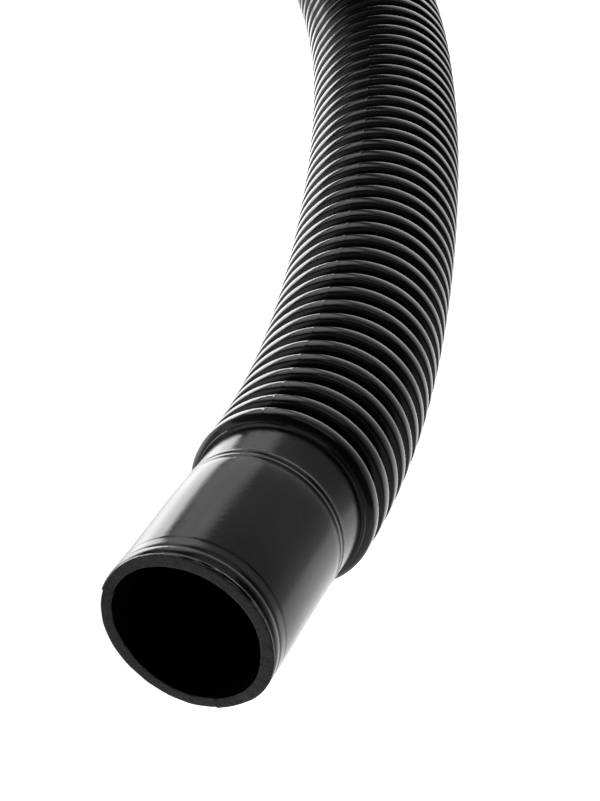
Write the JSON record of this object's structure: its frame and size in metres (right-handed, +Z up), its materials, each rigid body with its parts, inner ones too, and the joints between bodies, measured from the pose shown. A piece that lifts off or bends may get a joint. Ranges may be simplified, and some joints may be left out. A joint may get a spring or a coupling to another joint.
{
  "type": "pool vacuum hose",
  "caption": "Corrugated black pool vacuum hose with a plain moulded cuff in front, a swivel cuff on its far end, and its length wound in a tied round coil.",
  "frame": {"origin": "on the floor, under the middle of the whole hose with its coil", "axes": "+Z up; the plain cuff in front points along -Y and lies at +X; the coil lies behind it towards -X and +Y"},
  "size_m": [0.7296, 0.6958, 0.2042],
  "materials": {
    "moulded_cuff": "semi-gloss blow-moulded polyethylene",
    "hose_wall": "glossy blow-moulded polyethylene",
    "fitting": "satin injection-moulded plastic",
    "retainer": "satin acetal",
    "seal": "matt rubber",
    "tie_webbing": "woven hook-and-loop webbing",
    "tie_ring": "satin moulded acetal"
  },
  "bodies": {
    "hose": {"plain_cuff": "moulded_cuff", "hose_front": "hose_wall", "hose_coil": "hose_wall", "hose_tail": "hose_wall", "swivel_sleeve": "fitting", "tie_strap_1": "tie_webbing", "tie_strap_2": "tie_webbing", "tie_strap_3": "tie_webbing", "tie_strap_4": "tie_webbing", "tie_ring_1": "tie_ring", "tie_ring_2": "tie_ring", "tie_ring_3": "tie_ring", "tie_ring_4": "tie_ring"},
    "swivel": {"swivel_cuff": "fitting", "swivel_retainer": "retainer", "swivel_washer": "seal"}
  },
  "joints": [
    {"name": "swivel_spin", "type": "hinge", "parent": "hose", "child": "swivel", "pos_m": [-0.3373, 0.0326, 0.1767], "axis": [0, -1, 0], "continuous": true}
  ]
}
